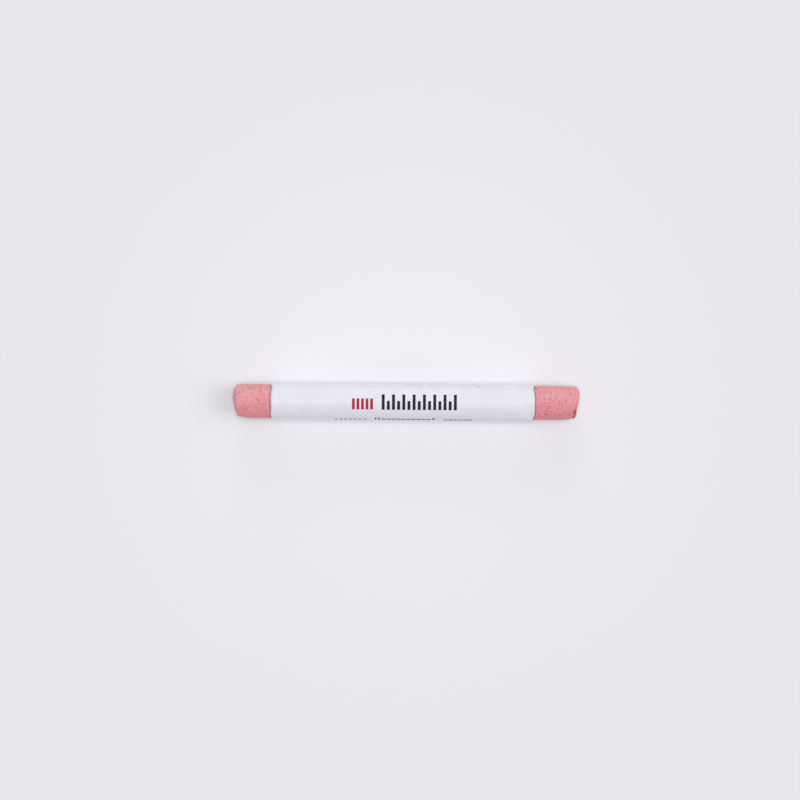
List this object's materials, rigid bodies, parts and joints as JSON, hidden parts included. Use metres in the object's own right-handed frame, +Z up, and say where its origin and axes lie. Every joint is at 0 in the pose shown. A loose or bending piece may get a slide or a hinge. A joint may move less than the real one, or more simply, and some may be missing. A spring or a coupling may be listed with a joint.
{
  "type": "chalk crayon",
  "caption": "Round stick of pressed ceramic chalk with worn, slanted ends, in a loose rolled paper sleeve that slides along it to bare either end.",
  "frame": {"origin": "on the table, straight under the middle of the chalk stick's length", "axes": "+X along the stick, towards the end with the longer bare stretch; +Y towards the back, away from the side that the paper's free edge laps over; +Z up from the table"},
  "size_m": [0.1, 0.0107, 0.0104],
  "materials": {
    "chalk": "matte pink pressed chalk with fine dark red specks",
    "paper": "white coated label paper, satin",
    "glue": "thin film of dried paper glue"
  },
  "bodies": {
    "stick": {"chalk_stick": "chalk"},
    "sleeve": {"paper_sleeve": "paper", "seam_glue": "glue"}
  },
  "joints": [
    {"name": "sleeve_slide", "type": "slide", "parent": "stick", "child": "sleeve", "axis": [1, 0, 0], "range_m": [-0.0109, 0.0129]}
  ]
}
